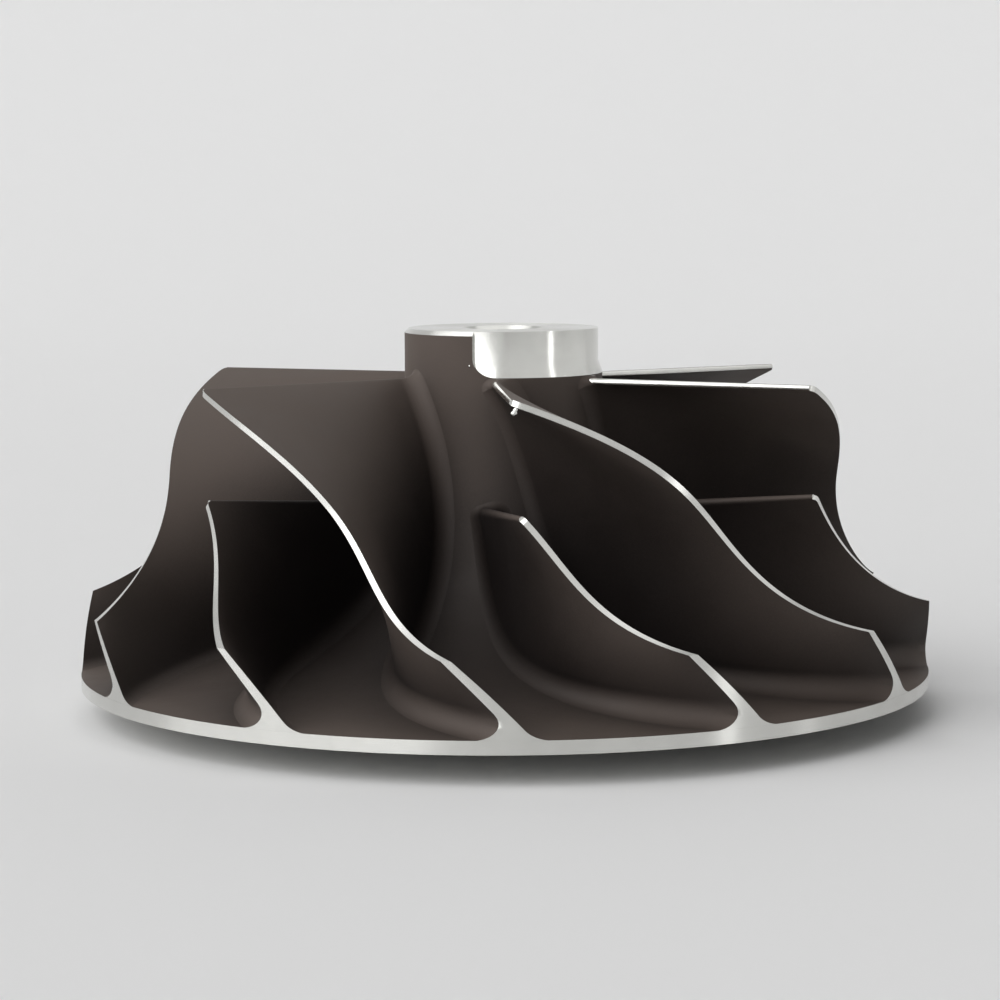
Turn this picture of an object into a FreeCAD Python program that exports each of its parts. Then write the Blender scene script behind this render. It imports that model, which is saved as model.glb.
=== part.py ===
import FreeCAD, Part
import math
import os

# Turbocharger compressor wheel: one aluminium casting, turned on its outer faces.
# The origin is on the bore axis, in the plane of the back boss face; +Z points to the inlet.
# Angles are in degrees about +Z, measured from -Y towards +X.

# --- turned outline ---
wheel_radius = 29.0
rim_thickness = 0.88
back_height = 1.9
boss_radius = 9.0
boss_height = 0.4
bore_radius = 2.5
bore_chamfer = 0.25
inducer_radius = 22.9
exit_width = 4.75
inducer_length = 6.5
shroud_turn = 71.2

# --- hub ---
nose_radius = 6.75
nose_height = 24.1
nose_chamfer = 0.28
eye_height = 20.6
hub_straight = 2.1
hub_turn_height = 5.8
hub_floor_radius = 11.6
hub_floor_height = 2.45

# --- balance cut on the nose ---
cut_depth = 0.28
cut_runout = 0.85
cut_corner = 1.1
cut_height = 3.05
cut_start = -18.0
cut_span = 180.0

# --- blades ---
blade_pairs = 6
tip_wrap = (1.1, 26.3, 37.9, 36.3, 45.2, 52.8)
root_wrap = (-5.0, 36.5, 19.1, 40.5, 62.3)
root_bias = 1.55
splitter_start = 0.405
tip_thickness = 0.45
root_thickness_middle = 0.95
root_thickness_ends = 0.62
root_flare = 1.1
root_sink = 0.25

# --- construction margins, removed by the turning ---
blade_margin = 1.0
blank_margin = 6.0
span_margin = 0.12
stations = 7
edge_bevel = 32.0
u_step = 0.004

AXIS = FreeCAD.Vector(0, 0, 1)
ORIGIN = FreeCAD.Vector(0, 0, 0)

rim_top = back_height + rim_thickness
exit_tip = rim_top + exit_width
eye = back_height + eye_height
nose_top = back_height + nose_height
shroud_bend = eye - inducer_length


def meridian(radius, height):
    """A point of the half-plane that is spun about the axis."""
    return FreeCAD.Vector(radius, 0, height)


def polar(radius, angle, height):
    turn = math.radians(angle)
    return FreeCAD.Vector(radius * math.sin(turn), -radius * math.cos(turn), height)


def bezier(controls, u):
    degree = len(controls) - 1
    return sum(
        math.comb(degree, i) * (1 - u) ** (degree - i) * u**i * value
        for i, value in enumerate(controls)
    )


def spin(edges, start=0.0, span=360.0):
    """A solid made by turning a closed outline about the axis."""
    outline = Part.Face(Part.Wire(edges))
    outline.rotate(ORIGIN, AXIS, start - 90)
    return outline.revolve(ORIGIN, AXIS, span)


def lines(points):
    return [Part.LineSegment(a, b).toShape() for a, b in zip(points, points[1:])]


# --- the two walls of the flow path ---

def shroud_arc():
    """Half width and half height of the ellipse that turns the tip line outwards."""
    last = math.radians(shroud_turn)
    width = (wheel_radius - inducer_radius) / (1 - math.cos(last))
    return width, (shroud_bend - exit_tip) / math.sin(last)


def shroud_length():
    return inducer_length + math.radians(shroud_turn) * sum(shroud_arc()) / 2


def shroud_point(u):
    """Tip line at u: 0 at the leading edge, 1 at the trailing edge."""
    bend_u = inducer_length / shroud_length()
    if u < bend_u:
        return inducer_radius, eye - inducer_length * u / bend_u
    width, height = shroud_arc()
    turn = math.radians(shroud_turn) * (u - bend_u) / (1 - bend_u)
    return inducer_radius + width * (1 - math.cos(turn)), shroud_bend - height * math.sin(turn)


def hub_curve():
    curve = Part.BezierCurve()
    curve.setPoles([
        meridian(nose_radius, eye - hub_straight),
        meridian(nose_radius, back_height + hub_turn_height),
        meridian(hub_floor_radius, back_height + hub_floor_height),
        meridian(wheel_radius, rim_top),
    ])
    return curve


def hub_point(u):
    """Hub line at u, with the stations closer together near the leading edge."""
    curve = hub_curve()
    full = hub_straight + curve.length()
    run = u**root_bias * full - hub_straight
    if run <= 0:
        return nose_radius, eye - hub_straight - run
    over = run - curve.length()
    if over > 0:
        end = curve.value(1) + curve.tangent(1)[0] * over
        return end.x, end.z
    point = curve.value(curve.parameterAtDistance(run, 0))
    return point.x, point.z


# --- blades ---

def root_point(u):
    radius, height = hub_point(u)
    return polar(radius, bezier(root_wrap, u**root_bias), height)


def tip_point(u):
    radius, height = shroud_point(u)
    return polar(radius, bezier(tip_wrap, u), height)


def unit(vector):
    return vector / vector.Length


def along(curve, u):
    """Unit tangent of a line that is a function of u."""
    return unit(curve(u + u_step) - curve(max(u - u_step, 0)))


def frame_at(u, reach):
    """Mean point at a distance up the blade from the hub, with the directions there."""
    root = root_point(u)
    rise = unit(tip_point(u) - root)

    def streamline(value):
        start = root_point(value)
        return start + unit(tip_point(value) - start) * reach

    flow = along(streamline, u)
    root_flow = along(root_point, u)
    radial = unit(FreeCAD.Vector(root.x, root.y, 0))
    hub_radius, hub_height = hub_point(u)
    ahead_radius, ahead_height = hub_point(u + u_step)
    slope = unit(radial * (ahead_radius - hub_radius) + AXIS * (ahead_height - hub_height))
    hub_normal = unit(slope.cross(AXIS.cross(radial)))
    side = unit(flow.cross(rise))
    foot = unit(root_flow.cross(hub_normal))
    if foot.dot(side) < 0:
        foot = -foot
    return root + rise * reach, flow, side, root_flow, foot


def move_round(point, direction, distance):
    """The point moved in a direction, bending round the axis as the hub surface does."""
    around = unit(AXIS.cross(FreeCAD.Vector(point.x, point.y, 0)))
    share = direction.dot(around)
    moved = point + (direction - around * share) * distance
    turn = share * distance / math.hypot(moved.x, moved.y)
    return FreeCAD.Rotation(AXIS, math.degrees(turn)).multVec(moved)


def half_thickness(u, reach):
    share = reach / (tip_point(u) - root_point(u)).Length
    middle = 4 * u * (1 - u)
    root = root_thickness_ends + (root_thickness_middle - root_thickness_ends) * middle
    return (root + (tip_thickness - root) * share) / 2


def section(start, reach, spread):
    """Edges of one blade section: both sides, the round leading edge and the trailing end.

    reach gives the distance from the hub at each u, and spread is how far the foot stands out.
    """
    end = 1 + blade_margin / wheel_radius
    sides = []
    for sign in (-1, 1):
        points = []
        for i in range(stations):
            u = start + (end - start) * i / (stations - 1)
            centre, flow, across, root_flow, foot = frame_at(u, reach(u))
            half = half_thickness(u, reach(u))
            points.append(move_round(centre + across * half * sign, foot, spread * sign))
        curve = Part.BSplineCurve()
        curve.interpolate(Points=points, Parameters=list(range(stations)))
        sides.append(curve)
    centre, flow, across, root_flow, foot = frame_at(start, reach(start))
    half = half_thickness(start, reach(start))
    corners = [sides[0].StartPoint]
    for turn in (-edge_bevel, edge_bevel):
        out = math.sin(math.radians(turn))
        back = math.cos(math.radians(turn))
        edge = centre + (across * out - flow * back) * half
        corners.append(move_round(edge, foot * out - root_flow * back, spread))
    corners.append(sides[1].StartPoint)
    tail = Part.LineSegment(sides[0].EndPoint, sides[1].EndPoint)
    return [sides[0].toShape(), sides[1].toShape(), tail.toShape()] + lines(corners)


def closing_faces(edges):
    """Lid over one end of a blade."""
    side_a, side_b, _, _, front, _ = edges
    chord = Part.LineSegment(side_a.Vertexes[0].Point, side_b.Vertexes[0].Point).toShape()
    return [Part.makeRuledSurface(side_a, side_b), Part.makeRuledSurface(chord, front)]


def blade(start):
    """A full blade or a splitter, left long at the root, tip and trailing edge."""
    def beyond_tip(u):
        return (tip_point(u) - root_point(u)).Length * (1 + span_margin)

    def level(distance):
        return lambda u: distance

    half_way = root_flare * (1 - math.sqrt(0.5))
    slope = (root_flare - half_way) / half_way
    rows = [
        section(start, beyond_tip, 0),
        section(start, level(root_flare), 0),
        section(start, level(half_way), half_way),
        section(start, level(-root_sink), root_flare + slope * root_sink),
    ]
    faces = closing_faces(rows[0]) + closing_faces(rows[-1])
    for upper, lower in zip(rows, rows[1:]):
        faces += [Part.makeRuledSurface(one, other) for one, other in zip(upper, lower)]
    shell = Part.makeShell(faces)
    shell.sewShape()
    solid = Part.makeSolid(shell)
    if solid.Volume < 0:
        solid.reverse()
    return solid


# --- hub and turning ---

def flow_curve():
    """Nose side and hub line in one curve, run on past the rim."""
    curve = hub_curve()
    slope = curve.tangent(1)[0]
    rim_edge = curve.value(1) + slope * (blank_margin / slope.x)
    top = meridian(nose_radius, nose_top)
    whole = Part.LineSegment(top, curve.value(0)).toBSpline()
    whole.join(curve.toBSpline())
    whole.join(Part.LineSegment(curve.value(1), rim_edge).toBSpline())
    return whole


def hub_blank():
    """Hub with its flow surface, wider than the finished rim."""
    curve = flow_curve()
    top = curve.StartPoint
    rim_edge = curve.EndPoint
    floor = meridian(rim_edge.x, 0)
    closing = lines([rim_edge, floor, meridian(0, 0), meridian(0, top.z), top])
    return spin([curve.toShape()] + closing)


def turned_envelope():
    """Everything that the turning tools leave: back, boss, rim and tip contour."""
    bend = meridian(inducer_radius, shroud_bend)
    bend_u = inducer_length / shroud_length()
    steps = 8
    points = [meridian(*shroud_point(bend_u + (1 - bend_u) * i / steps)) for i in range(steps + 1)]
    arc = Part.BSplineCurve()
    arc.interpolate(points)
    outline = lines([
        arc.EndPoint,
        meridian(wheel_radius, back_height),
        meridian(boss_radius, boss_height),
        meridian(boss_radius, 0),
        meridian(0, 0),
        meridian(0, nose_top),
        meridian(inducer_radius, nose_top),
        bend,
    ])
    return spin(outline + [arc.toShape()])


def bore():
    """Through hole with a chamfer at each end."""
    wide = bore_radius + bore_chamfer
    return spin(lines([
        meridian(0, 0),
        meridian(wide, 0),
        meridian(bore_radius, bore_chamfer),
        meridian(bore_radius, nose_top - bore_chamfer),
        meridian(wide, nose_top),
        meridian(0, nose_top),
        meridian(0, 0),
    ]))


def nose_edge():
    """Ring that bevels the outer edge of the nose face."""
    inner = meridian(nose_radius - nose_chamfer, nose_top)
    outer = meridian(nose_radius + nose_chamfer, nose_top)
    lower = meridian(nose_radius + nose_chamfer, nose_top - 2 * nose_chamfer)
    return spin(lines([inner, outer, lower, inner]))


def cut_ring():
    """Shallow step all round the nose, with a sloping floor."""
    wall = nose_radius - cut_depth
    floor = nose_top - cut_height
    outer = nose_radius + cut_depth
    return spin(lines([
        meridian(wall, nose_top),
        meridian(wall, floor + cut_runout),
        meridian(outer, floor - cut_runout),
        meridian(outer, nose_top),
        meridian(wall, nose_top),
    ]))


def cut_window():
    """Part of the nose that the balance cut takes in, with round lower corners."""
    floor = nose_top - cut_height
    corner_height = floor + cut_corner
    corner_turn = math.degrees(cut_corner / nose_radius)
    reach = 2 * nose_radius

    def segment(low, high, start, span):
        return spin(lines([
            meridian(0, low),
            meridian(reach, low),
            meridian(reach, high),
            meridian(0, high),
            meridian(0, low),
        ]), start, span)

    window = [segment(floor, corner_height, cut_start + corner_turn, cut_span - 2 * corner_turn)]
    for angle in (cut_start + corner_turn, cut_start + cut_span - corner_turn):
        start = FreeCAD.Vector(0, 0, corner_height)
        direction = polar(1, angle, 0)
        window.append(Part.makeCylinder(cut_corner, reach, start, direction))
    return segment(corner_height, nose_top, cut_start, cut_span).fuse(window)


def compressor_wheel():
    step = 360.0 / blade_pairs
    blades = []
    for i in range(blade_pairs):
        for pattern, offset in ((full_blade, 0), (splitter, step / 2)):
            copy = pattern.copy()
            copy.rotate(ORIGIN, AXIS, step * i + offset)
            blades.append(copy)
    casting = hub_blank().fuse(blades)
    wheel = casting.common(turned_envelope())
    balance_cut = cut_ring().common(cut_window())
    return wheel.cut([bore(), nose_edge(), balance_cut])


full_blade = blade(0)
splitter = blade(splitter_start)
wheel = compressor_wheel()
os.makedirs("parts", exist_ok=True)
wheel.Solids[0].exportStep("parts/compressor_wheel.step")
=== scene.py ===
import math
import bmesh
import bpy
import numpy as np
from mathutils import Matrix, Vector


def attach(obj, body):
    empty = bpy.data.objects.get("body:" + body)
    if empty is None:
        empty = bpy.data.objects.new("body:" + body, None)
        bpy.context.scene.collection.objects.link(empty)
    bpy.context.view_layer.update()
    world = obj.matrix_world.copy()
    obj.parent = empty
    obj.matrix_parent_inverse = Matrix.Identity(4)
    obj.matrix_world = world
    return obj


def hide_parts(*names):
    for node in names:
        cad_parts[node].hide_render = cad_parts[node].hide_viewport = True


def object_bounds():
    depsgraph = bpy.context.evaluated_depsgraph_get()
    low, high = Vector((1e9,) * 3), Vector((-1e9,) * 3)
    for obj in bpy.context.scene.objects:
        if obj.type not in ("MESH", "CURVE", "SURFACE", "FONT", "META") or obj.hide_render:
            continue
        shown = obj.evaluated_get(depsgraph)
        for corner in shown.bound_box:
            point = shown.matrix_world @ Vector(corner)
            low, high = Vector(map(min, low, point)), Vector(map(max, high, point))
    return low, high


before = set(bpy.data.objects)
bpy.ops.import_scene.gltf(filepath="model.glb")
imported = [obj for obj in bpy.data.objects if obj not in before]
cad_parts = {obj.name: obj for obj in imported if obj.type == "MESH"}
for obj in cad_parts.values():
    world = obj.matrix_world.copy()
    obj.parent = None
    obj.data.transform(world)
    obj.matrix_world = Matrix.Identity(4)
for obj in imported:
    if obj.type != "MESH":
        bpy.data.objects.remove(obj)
cad_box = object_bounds()

# Sizes are in millimetres, as on a drawing of the wheel; MM turns them into Blender's metres.
MM = 0.001

# --- turned outline ---
WHEEL_RADIUS = cad_box[1][0] / MM
NOSE_TOP = cad_box[1][2] / MM
RIM_LOW = 1.9
RIM_TOP = RIM_LOW + 0.88
BOSS_RADIUS = 9.0
BOSS_STEP = 0.4
BORE_RADIUS = 2.5
BORE_CHAMFER = 0.25
INDUCER_RADIUS = 22.9
INDUCER_LENGTH = 6.5
EXIT_TIP = RIM_TOP + 4.75
EYE = RIM_LOW + 20.6
SHROUD_BEND = EYE - INDUCER_LENGTH
SHROUD_TURN = math.radians(71.2)

# --- hub ---
NOSE_RADIUS = 6.75
NOSE_CHAMFER = 0.28
HUB_STRAIGHT = 2.1
HUB_POLES = (
    (NOSE_RADIUS, EYE - HUB_STRAIGHT),
    (NOSE_RADIUS, RIM_LOW + 5.8),
    (11.6, RIM_LOW + 2.45),
    (WHEEL_RADIUS, RIM_TOP),
)

# --- blades ---
BLADE_PAIRS = 6
TIP_WRAP = (1.1, 26.3, 37.9, 36.3, 45.2, 52.8)
ROOT_WRAP = (-5.0, 36.5, 19.1, 40.5, 62.3)
ROOT_BIAS = 1.55
SPLITTER_START = 0.405
TIP_THICKNESS = 0.37
ROOT_MIDDLE = 0.92
ROOT_ENDS = 0.52
ROOT_FILLET = 1.1
FRONT_FILLET = 0.45
EDGE_CORNER = 0.25  # radius where the leading edge meets the tip
DRESSED_TURN = 52  # how far round the leading edge it is dressed bright, in degrees

# --- balance cut on the nose ---
CUT_DEPTH = 0.28
CUT_RUNOUT = 0.85
CUT_CORNER = 1.25
CUT_CORNER_RUN = 1.65
CUT_OVERLAP = 0.05
CUT_FLOOR = NOSE_TOP - 3.05
CUT_START = -18.0
CUT_SPAN = 180.0

# --- wear: each lump has its middle, its long direction, half length and radius ---
CHIPS = (
    ((-2.287, -6.351, 23.75), (0, 0, 1), 0.09, 0.06),
    ((0.339, -6.461, 23.45), (1, 0, 0.4), 0.12, 0.09),
)
BURR = (
    ((0.62, -22.72, 22.06), (-0.56, 0, -0.83), 0.24, 0.15),
    ((0.54, -22.74, 21.88), (1, 0, 0.5), 0.23, 0.18),
)

# --- mesh fineness ---
LATHE_STEPS = 360
FILLET_STEPS = 9
FLANK_STEPS = 20
NOSE_STEPS = 10
CAP_STEPS = 6
TURNED_GAP = 0.004
FOOT_SINK = 0.12
FOOT_RUN_OUT = 0.15
FILLET_SINK = 0.02
U_STEP = 0.004
FRONT_CROWDING = 1.35
TRAILING_U = (0.90, 1.08)
FULL_STEPS, SPLITTER_STEPS = 74, 46

# --- studio ---
AMBIENT = 0.13
BACKDROP_LEVEL = 0.86
FLOOR_COLOUR = (0.82, 0.82, 0.82)
# The wall colour is a little lighter than the floor's, as painted light.
WALL_COLOUR = (0.85, 0.85, 0.85)
SWEEP_START = 0.5
SWEEP_RADIUS = 0.9
SWEEP_FRONT = -1.6
SWEEP_HALF_WIDTH = 2.2
SWEEP_TOP = 2.2
# Each sun: its name, the direction towards it, how wide it looks in degrees, and its strength.
LAMPS = (
    ("key", (-0.76, -0.44, 0.47), 90, 3.1),
    ("top", (0.15, 0.30, 0.94), 60, 0.35),
    ("nose_edge", (0.85, -0.51, 0.08), 4, 0.09),
)
# The spot that gives the rim its bright patch.
RIM_SPOT = (0.40, -0.055, 0.035)
RIM_SPOT_AIM = (0.0185, -0.0223, 0.0023)
RIM_SPOT_POWER = 0.5
RIM_SPOT_RADIUS = 0.02
RIM_SPOT_CONE = 3.4

# --- materials ---
PAINTED_SHADE_REACH = 14  # how far off a facing wall the painted shade still darkens the cast skin

CAST, MACHINED = 0, 1
MATERIALS = []


# --- camera ---

def add_camera():
    """A long lens a little above the rim, looking slightly down."""
    place = Vector((-0.88, -206.7, 36.17)) * MM
    yaw, pitch, roll = (math.radians(a) for a in (0.165, 6.085, -0.275))
    ahead = Vector((math.sin(yaw) * math.cos(pitch), math.cos(yaw) * math.cos(pitch), -math.sin(pitch)))
    level = Vector((math.cos(yaw), -math.sin(yaw), 0))
    over = level.cross(ahead)
    right = level * math.cos(roll) + over * math.sin(roll)
    up = over * math.cos(roll) - level * math.sin(roll)
    data = bpy.data.cameras.new("camera")
    data.sensor_width = 36
    data.lens = 108.9
    data.clip_start = 0.01
    camera = bpy.data.objects.new("camera", data)
    turn = Matrix((right, up, -ahead)).transposed().to_4x4()
    camera.matrix_world = Matrix.Translation(place) @ turn
    bpy.context.scene.collection.objects.link(camera)
    bpy.context.scene.camera = camera


# --- curves that shape the wheel ---

def bezier(controls, u):
    degree = len(controls) - 1
    return sum(
        math.comb(degree, i) * (1 - u) ** (degree - i) * u**i * value
        for i, value in enumerate(controls)
    )


def polar(radius, angle, height):
    turn = np.radians(angle)
    return np.stack([radius * np.sin(turn), -radius * np.cos(turn), height + 0 * turn], -1)


def unit(v):
    return v / np.linalg.norm(v, axis=-1, keepdims=True)


class HubLine:
    """Meridian of the hub from the nose to past the rim, with its length and outward normal."""

    def __init__(self):
        t = np.linspace(0, 1, 900)
        r = bezier([p[0] for p in HUB_POLES], t)
        z = bezier([p[1] for p in HUB_POLES], t)
        run_on = 3.0
        slope = np.array([r[-1] - r[-2], z[-1] - z[-2]])
        slope /= np.hypot(*slope)
        past = np.linspace(0, run_on, 30)[1:, None] * slope + (r[-1], z[-1])
        above = np.linspace(NOSE_TOP, HUB_POLES[0][1], 60)[:-1]
        self.r = np.concatenate([0 * above + NOSE_RADIUS, r, past[:, 0]])
        self.z = np.concatenate([above, z, past[:, 1]])
        steps = np.hypot(np.diff(self.r), np.diff(self.z))
        self.length = np.concatenate([[0], np.cumsum(steps)])
        self.start = NOSE_TOP - EYE
        self.full = self.length[len(above) + len(t) - 1] - self.start
        dr = np.gradient(self.r, self.length)
        dz = np.gradient(self.z, self.length)
        self.normal = np.stack([-dz, dr], -1)

    def at(self, u):
        run = self.start + np.maximum(u, 0) ** ROOT_BIAS * self.full
        return np.interp(run, self.length, self.r), np.interp(run, self.length, self.z)

    def height(self, points):
        """Height of points above the hub surface, and the outward normal under each."""
        flat = points.reshape(-1, 3)
        radius = np.hypot(flat[:, 0], flat[:, 1])
        height = np.empty(len(flat))
        normal = np.empty((len(flat), 3))
        for part in np.array_split(np.arange(len(flat)), max(1, len(flat) // 2000)):
            away_r = radius[part, None] - self.r
            away_z = flat[part, 2][:, None] - self.z
            nearest = np.argmin(away_r**2 + away_z**2, axis=1)
            n = self.normal[nearest]
            rows = np.arange(len(part))
            height[part] = away_r[rows, nearest] * n[:, 0] + away_z[rows, nearest] * n[:, 1]
            outward = flat[part, :2] / radius[part, None]
            normal[part] = np.concatenate([outward * n[:, :1], n[:, 1:]], axis=1)
        return height.reshape(points.shape[:-1]), normal.reshape(points.shape)


HUB = HubLine()
ARC_WIDTH = (WHEEL_RADIUS - INDUCER_RADIUS) / (1 - math.cos(SHROUD_TURN))
ARC_HEIGHT = (SHROUD_BEND - EXIT_TIP) / math.sin(SHROUD_TURN)
SHROUD_LENGTH = INDUCER_LENGTH + SHROUD_TURN * (ARC_WIDTH + ARC_HEIGHT) / 2
BEND_U = INDUCER_LENGTH / SHROUD_LENGTH


def shroud_at(u):
    turn = SHROUD_TURN * np.maximum(u - BEND_U, 0) / (1 - BEND_U)
    height = EYE - INDUCER_LENGTH * np.minimum(u, BEND_U) / BEND_U - ARC_HEIGHT * np.sin(turn)
    return INDUCER_RADIUS + ARC_WIDTH * (1 - np.cos(turn)), height


def shroud_radius(z):
    """Radius of the turned tip surface at a height."""
    drop = np.clip((SHROUD_BEND - z) / ARC_HEIGHT, 0, 1)
    return INDUCER_RADIUS + ARC_WIDTH * (1 - np.sqrt(1 - drop**2))


# --- blade points ---

def root_at(u):
    r, z = HUB.at(u)
    return polar(r, bezier(ROOT_WRAP, np.maximum(u, 0) ** ROOT_BIAS), z)


def tip_at(u):
    r, z = shroud_at(u)
    return polar(r, bezier(TIP_WRAP, u), z)


def mean_at(u, reach):
    root = root_at(u)
    return root + unit(tip_at(u) - root) * reach[..., None]


def directions(u, reach):
    """Blade directions at u: up the blade, along it there, and out from its side."""
    rise = unit(tip_at(u) - root_at(u))
    flow = unit(mean_at(u + U_STEP, reach) - mean_at(u - U_STEP * (u > U_STEP), reach))
    return rise, flow, unit(np.cross(flow, rise))


def blade_point(u, across, ahead, reach):
    """Points of a blade's flanks and leading edge, carried on down to the hub without a fillet.

    across and ahead say where round the blade: (1, 0) and (-1, 0) are its two sides, and
    (0, 1) the front of its leading edge.
    """
    rise, flow, side = directions(u, reach)
    root = root_at(u)
    full = np.linalg.norm(tip_at(u) - root, axis=-1)
    thick = ROOT_ENDS + (ROOT_MIDDLE - ROOT_ENDS) * 4 * u * (1 - u)
    half = (thick + (TIP_THICKNESS - thick) * reach / full) / 2
    body = (side * across[..., None] - flow * ahead[..., None]) * half[..., None]
    return root + rise * reach[..., None] + body


def dot(a, b):
    return np.sum(a * b, -1)


class Corner:
    """The corner between a blade's skin and the hub, and the rolling-ball fillet in it."""

    def __init__(self, u, across, ahead):
        rise, flow, side = directions(u, 0 * u)
        low = blade_point(u, across, ahead, 0 * u)
        height, self.normal = HUB.height(low)
        self.reach = -height / dot(rise, self.normal)
        self.point = low + rise * self.reach[..., None]
        upper = blade_point(u, across, ahead, self.reach + ROOT_FILLET)
        slope = unit(upper - self.point)
        root_flow = unit(root_at(u + U_STEP) - root_at(u))
        foot = unit(np.cross(root_flow, self.normal))
        foot *= np.sign(dot(foot, side))[..., None]
        self.away = unit(foot * across[..., None] - root_flow * ahead[..., None])
        lean, steep = dot(slope, self.away), dot(slope, self.normal)
        self.angle = np.arctan2(steep, lean)
        self.radius = FRONT_FILLET + (ROOT_FILLET - FRONT_FILLET) * across**2
        self.run = self.radius / np.tan(self.angle / 2)
        self.flank_run = self.run / np.hypot(lean, steep)
        drift = slope - self.away * lean[..., None] - self.normal * steep[..., None]
        self.drift = drift / steep[..., None]

    def fillet(self, share, spread):
        """share 1 is at the flank and 0 at the hub; spread runs the foot on past the fillet."""
        turn = (math.pi - self.angle) * share
        height = self.radius * (1 - np.cos(turn))
        out = self.run - self.radius * np.sin(turn) + spread
        start = self.point + self.drift * height[..., None]
        return move_round(start, self.away, out[..., None]), height


def move_round(point, direction, distance):
    """The points moved in a direction, bending round the axis as the hub surface does."""
    radius = np.hypot(point[..., 0], point[..., 1])[..., None]
    around = np.stack([-point[..., 1], point[..., 0], 0 * point[..., 0]], -1) / radius
    share = np.sum(direction * around, -1, keepdims=True)
    moved = point + (direction - around * share) * distance
    turn = (share * distance)[..., 0] / np.hypot(moved[..., 0], moved[..., 1])
    x = moved[..., 0] * np.cos(turn) - moved[..., 1] * np.sin(turn)
    y = moved[..., 0] * np.sin(turn) + moved[..., 1] * np.cos(turn)
    return np.stack([x, y, moved[..., 2]], -1)


def bisect(test, low, high, rounds=20):
    """Where test turns from negative to positive, point by point."""
    for _ in range(rounds):
        middle = (low + high) / 2
        beyond = test(middle) > 0
        high = np.where(beyond, middle, high)
        low = np.where(beyond, low, middle)
    return (low + high) / 2


def tip_reach(u, across, ahead):
    """How far up the blade the turned tip surface cuts it."""
    def beyond(reach):
        p = blade_point(u, across, ahead, reach)
        return np.hypot(p[..., 0], p[..., 1]) - shroud_radius(p[..., 2])

    full = np.linalg.norm(tip_at(u) - root_at(u), axis=-1)
    return bisect(beyond, 0.5 * full, 1.25 * full)


ROWS = FLANK_STEPS + FILLET_STEPS + 2


def skin(start, u, across, ahead):
    """Points of a blade's skin, rows from tip to foot. The three arrays have one line for each row."""
    corner = Corner(u, across, ahead)
    flank = slice(0, FLANK_STEPS)
    foot = slice(FLANK_STEPS, None)
    share = np.linspace(1, 0, FLANK_STEPS + 1)[:-1, None]
    low = corner.reach + corner.flank_run
    near = np.clip(1 - (u - start) * SHROUD_LENGTH / EDGE_CORNER, 0, 1)
    top = tip_reach(u, across, ahead) - EDGE_CORNER * (1 - np.sqrt(1 - near**2))
    reach = low[flank] + (top - low)[flank] * share
    upper = blade_point(u[flank], across[flank], ahead[flank], reach)
    fillet_share = np.append(np.linspace(1, 0, FILLET_STEPS + 1), 0)
    spread = np.append(np.zeros(FILLET_STEPS + 1), FOOT_RUN_OUT)
    sink = np.append(FILLET_SINK * np.linspace(0, 1, FILLET_STEPS + 1) ** 2, FOOT_SINK)
    rows = [np.concatenate([0 * share[:, 0], row])[:, None] for row in (fillet_share, spread, sink)]
    lower, height = corner.fillet(rows[0], rows[1])
    lower, height = lower[foot], height[foot]
    high, normal = HUB.height(lower)
    lower += normal * (height - rows[2][foot] - high)[..., None]
    return np.concatenate([upper, lower])


def trailing_u(start, across):
    """For each row of one side, the u at which it reaches the turned outside diameter."""
    def beyond(u):
        points = skin(start, u, across + 0 * u, 0 * u)
        return np.hypot(points[..., 0], points[..., 1]) - (WHEEL_RADIUS - TURNED_GAP)

    low, high = (np.full((ROWS, 1), u) for u in TRAILING_U)
    return bisect(beyond, low, high)


def blade_rows(start, steps):
    """Skin of one blade from one trailing end round the leading edge to the other."""
    run = np.linspace(0, 1, steps + 1) ** FRONT_CROWDING
    turn = np.radians(np.linspace(-90, 90, NOSE_STEPS + 1))[1:-1]
    parts = []
    for across in (-1, 1):
        end = trailing_u(start, across)
        u = start + (end - start) * run
        parts.append(skin(start, u, across + 0 * u, 0 * u))
    u = start + np.zeros((ROWS, len(turn)))
    nose = skin(start, u, np.sin(turn) + 0 * u, np.cos(turn) + 0 * u)
    return np.concatenate([parts[0][:, ::-1], nose, parts[1]], axis=1)


def dressed_columns(steps):
    """Columns of the skin, between neighbouring lines, where the leading edge is dressed bright."""
    turn = np.linspace(-90, 90, NOSE_STEPS + 1)
    middle = (turn[1:] + turn[:-1]) / 2
    return {steps + i for i, angle in enumerate(middle) if abs(angle) < DRESSED_TURN}


# --- meshes ---

def new_mesh(name, points, faces, kinds):
    """An object from points in millimetres and faces of any size, each with its material number."""
    mesh = bpy.data.meshes.new(name)
    mesh.from_pydata([tuple(p) for p in np.asarray(points) * MM], [], faces)
    for material in MATERIALS:
        mesh.materials.append(material)
    mesh.polygons.foreach_set("material_index", kinds)
    mesh.update()
    obj = bpy.data.objects.new(name, mesh)
    bpy.context.scene.collection.objects.link(obj)
    return obj


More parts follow.
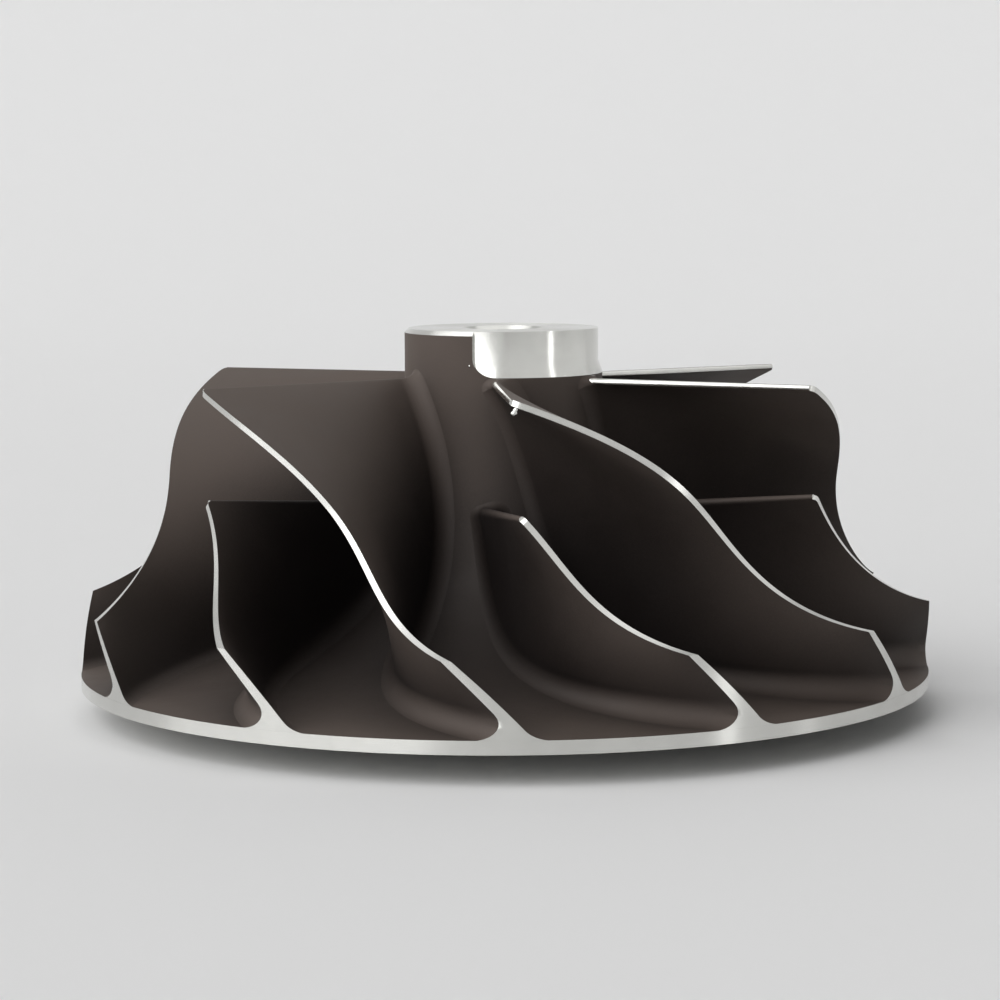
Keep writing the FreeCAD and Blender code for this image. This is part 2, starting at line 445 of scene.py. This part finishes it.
def blade_mesh(name, start, steps, dressed):
    """One closed blade: skin, turned tip and trailing edge, and a lid inside the hub."""
    grid = blade_rows(start, steps)
    bright = dressed_columns(steps) if dressed else set()
    count = grid.shape[1]
    left, right = grid[:, 0], grid[:, -1]
    share = np.linspace(0, 1, CAP_STEPS + 1)[1:-1, None]
    angle_left = np.arctan2(left[:, 0], -left[:, 1])
    angle_right = np.arctan2(right[:, 0], -right[:, 1])
    angle = np.degrees(angle_left + (angle_right - angle_left) * share)
    height = left[:, 2] + (right[:, 2] - left[:, 2]) * share
    cap = polar(WHEEL_RADIUS - TURNED_GAP + 0 * angle, angle, height)
    points = np.concatenate([grid.reshape(-1, 3), cap.transpose(1, 0, 2).reshape(-1, 3)])

    def at(row, column):
        return row * count + column

    def cap_row(row):
        first = ROWS * count + row * (CAP_STEPS - 1)
        return [at(row, 0)] + list(range(first, first + CAP_STEPS - 1)) + [at(row, count - 1)]

    faces, kinds = [], []

    def add(face, kind):
        faces.append(face)
        kinds.append(kind)

    for row in range(ROWS - 1):
        for column in range(count - 1):
            kind = MACHINED if column in bright and row < FLANK_STEPS + 1 else CAST
            add((at(row, column), at(row + 1, column), at(row + 1, column + 1), at(row, column + 1)), kind)
        above, below = cap_row(row), cap_row(row + 1)
        for i in range(CAP_STEPS):
            add((above[i], above[i + 1], below[i + 1], below[i]), MACHINED)
    for row, kind in ((0, MACHINED), (ROWS - 1, CAST)):
        ends = cap_row(row)
        lid = [ends + [at(row, count - 2), at(row, 1)]]
        half = count // 2
        for i in range(1, half - 1):
            lid.append([at(row, i), at(row, count - 1 - i), at(row, count - 2 - i), at(row, i + 1)])
        lid.append([at(row, half - 1), at(row, half + 1), at(row, half)])
        for face in lid:
            add(face if row else face[::-1], kind)
    return new_mesh(name, points, faces, kinds)


def lathe(name, profile, kinds):
    """A ring with a closed outline, turned about the axis."""
    profile = np.array(profile)
    count = len(profile)
    angles = np.arange(LATHE_STEPS) * 360.0 / LATHE_STEPS
    points = polar(profile[None, :, 0], angles[:, None], profile[None, :, 1]).reshape(-1, 3)
    faces, face_kinds = [], []
    for step in range(LATHE_STEPS):
        here, there = step * count, (step + 1) % LATHE_STEPS * count
        for i in range(count):
            j = (i + 1) % count
            faces.append((here + i, there + i, there + j, here + j))
            face_kinds.append(kinds[i])
    return new_mesh(name, points, faces, face_kinds)


def lumps(name, places):
    """Small bright lumps of metal, in one mesh."""
    shape = bmesh.new()
    for middle, direction, length, radius in places:
        turn = Vector(direction).to_track_quat("Z", "Y").to_matrix().to_4x4()
        size = Matrix.Diagonal((radius * MM, radius * MM, length * MM, 1))
        place = Matrix.Translation(Vector(middle) * MM) @ turn @ size
        bmesh.ops.create_icosphere(shape, subdivisions=3, radius=1, matrix=place)
    mesh = bpy.data.meshes.new(name)
    shape.to_mesh(mesh)
    shape.free()
    for material in MATERIALS:
        mesh.materials.append(material)
    mesh.polygons.foreach_set("material_index", [MACHINED] * len(mesh.polygons))
    obj = bpy.data.objects.new(name, mesh)
    bpy.context.scene.collection.objects.link(obj)
    return obj


def wheel_outline():
    """The lathe outline from the bore over the nose, the hub and the rim to the boss."""
    wide = BORE_RADIUS + BORE_CHAMFER
    nose_inner = NOSE_RADIUS - NOSE_CHAMFER
    steps = 9
    top = [(BORE_RADIUS, NOSE_TOP - BORE_CHAMFER), (wide, NOSE_TOP), (nose_inner, NOSE_TOP)]
    hub = [(NOSE_RADIUS, NOSE_TOP - NOSE_CHAMFER)]
    hub += [(NOSE_RADIUS, z) for z in np.linspace(NOSE_TOP - NOSE_CHAMFER, HUB_POLES[0][1], steps)[1:-1]]
    for t in np.linspace(0, 1, 61):
        hub.append((bezier([p[0] for p in HUB_POLES], t), bezier([p[1] for p in HUB_POLES], t)))
    back = [(WHEEL_RADIUS, RIM_LOW)]
    back += [(r, RIM_LOW + (BOSS_STEP - RIM_LOW) * (WHEEL_RADIUS - r) / (WHEEL_RADIUS - BOSS_RADIUS))
             for r in np.linspace(WHEEL_RADIUS, BOSS_RADIUS, steps)[1:]]
    back += [(BOSS_RADIUS, 0), (wide, 0), (BORE_RADIUS, BORE_CHAMFER)]
    profile = top + hub + back
    kinds = [MACHINED] * len(top) + [CAST] * (len(hub) - 1) + [MACHINED] * (len(back) + 1)
    return profile, kinds


def apply_modifiers(obj):
    """Bakes an object's modifiers into its mesh."""
    graph = bpy.context.evaluated_depsgraph_get()
    mesh = bpy.data.meshes.new_from_object(obj.evaluated_get(graph))
    obj.modifiers.clear()
    old = obj.data
    obj.data = mesh
    bpy.data.meshes.remove(old)


def cut_tool():
    """Ring segment with a sloping floor and round lower corners, for the balance cut."""
    wall = NOSE_RADIUS - CUT_DEPTH
    outer = NOSE_RADIUS + ROOT_FILLET
    high = NOSE_TOP + 1
    clear = 0.001
    corner = math.degrees(CUT_CORNER_RUN / NOSE_RADIUS)
    turn = np.linspace(0, 1, 13) ** 2 * corner
    middle = np.linspace(corner, CUT_SPAN - corner, 110)[1:-1]
    run = np.concatenate([turn, middle, CUT_SPAN - turn[::-1]])
    inside = np.minimum(np.minimum(run, CUT_SPAN - run) / corner, 1)
    low = CUT_FLOOR + CUT_CORNER * (1 - np.sqrt(1 - (1 - inside) ** 2))
    slope_top = CUT_FLOOR + CUT_RUNOUT
    floor_radius = wall + CUT_DEPTH * np.maximum(slope_top - low, 0) / CUT_RUNOUT
    section = [
        (wall + 0 * low, high + 0 * low),
        (wall + 0 * low, np.maximum(slope_top, low + clear)),
        (floor_radius, low),
        (outer + 0 * low, low),
        (outer + 0 * low, high + 0 * low),
    ]
    points = np.stack([polar(r, CUT_START + run, z) for r, z in section], 1)
    count = len(section)
    faces = [tuple(range(count)), tuple(reversed([(len(run) - 1) * count + i for i in range(count)]))]
    for step in range(len(run) - 1):
        here, there = step * count, (step + 1) * count
        for i in range(count):
            j = (i + 1) % count
            faces.append((here + i, there + i, there + j, here + j))
    return new_mesh("balance_cut", points.reshape(-1, 3), faces, [MACHINED] * len(faces))


def take_away(obj, tool):
    """Cuts the tool's volume out of an object."""
    cut = obj.modifiers.new("balance_cut", "BOOLEAN")
    cut.operation = "DIFFERENCE"
    cut.solver = "EXACT"
    cut.object = tool
    apply_modifiers(obj)


def facing_out(obj):
    """Turns every face of a closed mesh outwards."""
    shape = bmesh.new()
    shape.from_mesh(obj.data)
    bmesh.ops.recalc_face_normals(shape, faces=shape.faces)
    shape.to_mesh(obj.data)
    shape.free()


def smooth(obj, sharp_angle):
    """Shades an object smooth, apart from edges sharper than an angle in degrees."""
    obj.data.polygons.foreach_set("use_smooth", [True] * len(obj.data.polygons))
    obj.data.set_sharp_from_angle(angle=math.radians(sharp_angle))


# --- material trees ---

class Nodes:
    """A material's node tree, built by short calls."""

    def __init__(self, name):
        self.material = bpy.data.materials.new(name)
        self.material.use_nodes = True
        self.tree = self.material.node_tree
        self.shader = self.tree.nodes["Principled BSDF"]
        self.place = self.add("ShaderNodeNewGeometry").outputs["Position"]

    def add(self, kind, **values):
        node = self.tree.nodes.new(kind)
        for name, value in values.items():
            setattr(node, name, value)
        return node

    def link(self, output, target):
        self.tree.links.new(output, target)

    def noise(self, scale, detail=3.0, place=None):
        node = self.add("ShaderNodeTexNoise")
        node.inputs["Scale"].default_value = scale
        node.inputs["Detail"].default_value = detail
        self.link(place or self.place, node.inputs["Vector"])
        return node.outputs["Fac"]

    def math(self, operation, a, b):
        node = self.add("ShaderNodeMath", operation=operation)
        for socket, value in zip(node.inputs, (a, b)):
            if isinstance(value, (int, float)):
                socket.default_value = value
            else:
                self.link(value, socket)
        return node.outputs["Value"]

    def ramp(self, value, low, high, to_low, to_high):
        node = self.add("ShaderNodeMapRange")
        node.inputs["From Min"].default_value = low
        node.inputs["From Max"].default_value = high
        node.inputs["To Min"].default_value = to_low
        node.inputs["To Max"].default_value = to_high
        self.link(value, node.inputs["Value"])
        return node.outputs["Result"]

    def mix(self, share, low, high):
        node = self.add("ShaderNodeMix", data_type="RGBA")
        self.link(share, node.inputs["Factor"])
        for socket, colour in ((node.inputs[6], low), (node.inputs[7], high)):
            if isinstance(colour, tuple):
                socket.default_value = (*colour, 1)
            else:
                self.link(colour, socket)
        return node.outputs[2]

    def bump(self, height, strength, distance):
        node = self.add("ShaderNodeBump")
        node.inputs["Strength"].default_value = strength
        node.inputs["Distance"].default_value = distance
        self.link(height, node.inputs["Height"])
        return node.outputs["Normal"]


def cast_aluminium():
    """Dark satin skin of a casting, with fine grain and faint clouding, and painted shade that darkens it
    where it lies deep.
    """
    n = Nodes("cast_aluminium")
    cloud = n.noise(220, 4)
    grain = n.noise(5200, 2)
    skin = n.mix(cloud, (0.078, 0.061, 0.052), (0.106, 0.084, 0.072))
    occlusion_shade = n.add("ShaderNodeAmbientOcclusion", samples=8)
    occlusion_shade.inputs["Distance"].default_value = PAINTED_SHADE_REACH * MM
    # Painted shade: the occlusion mask mixes the skin towards near black deep in the passages between the
    # blades.
    painted_light_share = n.ramp(occlusion_shade.outputs["AO"], 0.28, 0.80, 0.03, 1)
    n.link(n.mix(painted_light_share, (0.006, 0.004, 0.004), skin), n.shader.inputs["Base Color"])
    n.link(n.ramp(cloud, 0.3, 0.7, 0.55, 0.68), n.shader.inputs["Roughness"])
    n.shader.inputs["Metallic"].default_value = 0.12
    n.shader.inputs["Specular IOR Level"].default_value = 0.25
    n.link(n.bump(grain, 0.25, 0.00002), n.shader.inputs["Normal"])
    return n.material


def machined_aluminium():
    """Bright turned metal: fine rings about the axis draw its highlights out across them."""
    n = Nodes("machined_aluminium")
    parts = n.add("ShaderNodeSeparateXYZ")
    n.link(n.place, parts.inputs["Vector"])
    x, y, z = (parts.outputs[i] for i in range(3))
    radius = n.math("SQRT", n.math("ADD", n.math("MULTIPLY", x, x), n.math("MULTIPLY", y, y)), 0)
    ring_place = n.add("ShaderNodeCombineXYZ")
    n.link(n.math("ADD", radius, z), ring_place.inputs["X"])
    n.link(n.math("SUBTRACT", radius, z), ring_place.inputs["Y"])
    rings = n.noise(26000, 3, ring_place.outputs["Vector"])
    cloud = n.noise(500, 3)
    n.link(n.mix(cloud, (0.57, 0.57, 0.545), (0.69, 0.69, 0.66)), n.shader.inputs["Base Color"])
    n.link(n.ramp(rings, 0.3, 0.7, 0.19, 0.26), n.shader.inputs["Roughness"])
    n.shader.inputs["Metallic"].default_value = 1.0
    n.shader.inputs["Anisotropic"].default_value = 0.95
    n.shader.inputs["Anisotropic Rotation"].default_value = 0.25
    turned = n.add("ShaderNodeTangent", direction_type="RADIAL", axis="Z")
    n.link(turned.outputs["Tangent"], n.shader.inputs["Tangent"])
    n.link(n.bump(rings, 0.3, 0.000006), n.shader.inputs["Normal"])
    return n.material


# --- studio ---

def add_world():
    """Even light from all round; the camera and the bright metal see the pale backdrop's own level."""
    world = bpy.data.worlds.new("studio")
    bpy.context.scene.world = world
    world.use_nodes = True
    tree = world.node_tree
    back = tree.nodes["Background"]
    back.inputs["Color"].default_value = (1, 1, 1, 1)
    path = tree.nodes.new("ShaderNodeLightPath")
    seen = tree.nodes.new("ShaderNodeMath")
    seen.operation = "MAXIMUM"
    tree.links.new(path.outputs["Is Camera Ray"], seen.inputs[0])
    tree.links.new(path.outputs["Is Glossy Ray"], seen.inputs[1])
    level = tree.nodes.new("ShaderNodeMapRange")
    level.inputs["To Min"].default_value = AMBIENT
    level.inputs["To Max"].default_value = BACKDROP_LEVEL
    tree.links.new(seen.outputs[0], level.inputs["Value"])
    tree.links.new(level.outputs["Result"], back.inputs["Strength"])


def add_sweep():
    """Floor that runs up into a wall in one pale curve, with painted light that makes it a little lighter
    towards the top.
    """
    turn = np.radians(np.linspace(0, 90, 25))
    wall = SWEEP_START + SWEEP_RADIUS
    y = np.concatenate([[SWEEP_FRONT], SWEEP_START + SWEEP_RADIUS * np.sin(turn), [wall]])
    z = np.concatenate([[0], SWEEP_RADIUS * (1 - np.cos(turn)), [SWEEP_TOP]])
    count = len(y)
    points = [(x, a, b) for x in (-SWEEP_HALF_WIDTH, SWEEP_HALF_WIDTH) for a, b in zip(y, z)]
    faces = [(i, count + i, count + i + 1, i + 1) for i in range(count - 1)]
    mesh = bpy.data.meshes.new("sweep")
    mesh.from_pydata(points, [], faces)
    mesh.polygons.foreach_set("use_smooth", [True] * len(faces))
    sweep = bpy.data.objects.new("sweep", mesh)
    bpy.context.scene.collection.objects.link(sweep)
    n = Nodes("sweep")
    parts = n.add("ShaderNodeSeparateXYZ")
    n.link(n.place, parts.inputs["Vector"])
    # Painted light: the colour runs from the floor's to the wall's lighter one further back.
    rise = n.ramp(parts.outputs["Y"], 0, 1, 0, 1)
    n.link(n.mix(rise, FLOOR_COLOUR, WALL_COLOUR), n.shader.inputs["Base Color"])
    n.shader.inputs["Roughness"].default_value = 0.8
    n.shader.inputs["Specular IOR Level"].default_value = 0.2
    mesh.materials.append(n.material)


def add_lamps():
    """A broad key from the left, weak light from above, and two narrow ones that edge the bright metal."""
    for name, toward, spread, power in LAMPS:
        data = bpy.data.lights.new(name, "SUN")
        data.angle = math.radians(spread)
        data.energy = power
        lamp = bpy.data.objects.new(name, data)
        lamp.rotation_euler = (-Vector(toward)).to_track_quat("-Z", "Y").to_euler()
        bpy.context.scene.collection.objects.link(lamp)
    data = bpy.data.lights.new("rim_spot", "SPOT")
    data.energy = RIM_SPOT_POWER
    data.shadow_soft_size = RIM_SPOT_RADIUS
    data.spot_size = math.radians(RIM_SPOT_CONE)
    data.spot_blend = 1
    spot = bpy.data.objects.new("rim_spot", data)
    spot.location = RIM_SPOT
    spot.rotation_euler = (Vector(RIM_SPOT_AIM) - Vector(RIM_SPOT)).to_track_quat("-Z", "Y").to_euler()
    bpy.context.scene.collection.objects.link(spot)


# --- the wheel ---

def add_wheel():
    MATERIALS.extend([cast_aluminium(), machined_aluminium()])
    profile, kinds = wheel_outline()
    hub = lathe("hub_and_disc", profile, kinds)
    facing_out(hub)
    tool = cut_tool()
    facing_out(tool)
    take_away(hub, tool)
    smooth(hub, 28)
    tool.location.z = -CUT_OVERLAP * MM
    pieces = [hub]
    patterns = (
        (blade_mesh("full_blade", 0.0, FULL_STEPS, True), "full_blade", 0),
        (blade_mesh("splitter_blade", SPLITTER_START, SPLITTER_STEPS, False), "splitter_blade", 0.5),
    )
    for pattern, name, offset in patterns:
        facing_out(pattern)
        smooth(pattern, 40)
        for i in range(BLADE_PAIRS):
            mesh = pattern.data.copy()
            mesh.transform(Matrix.Rotation(math.radians(360 / BLADE_PAIRS * (i + offset)), 4, "Z"))
            blade = bpy.data.objects.new("%s_%d" % (name, i + 1), mesh)
            bpy.context.scene.collection.objects.link(blade)
            if name == "full_blade":
                take_away(blade, tool)
            pieces.append(blade)
        bpy.data.objects.remove(pattern)
    bpy.data.objects.remove(tool)
    for piece in (lumps("turning_chips", CHIPS), lumps("leading_edge_burr", BURR)):
        smooth(piece, 60)
        pieces.append(piece)
    for piece in pieces:
        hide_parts("compressor_wheel")
        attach(piece, "root")


bpy.context.scene.view_settings.view_transform = "Standard"
add_camera()
add_world()
add_sweep()
add_lamps()
add_wheel()
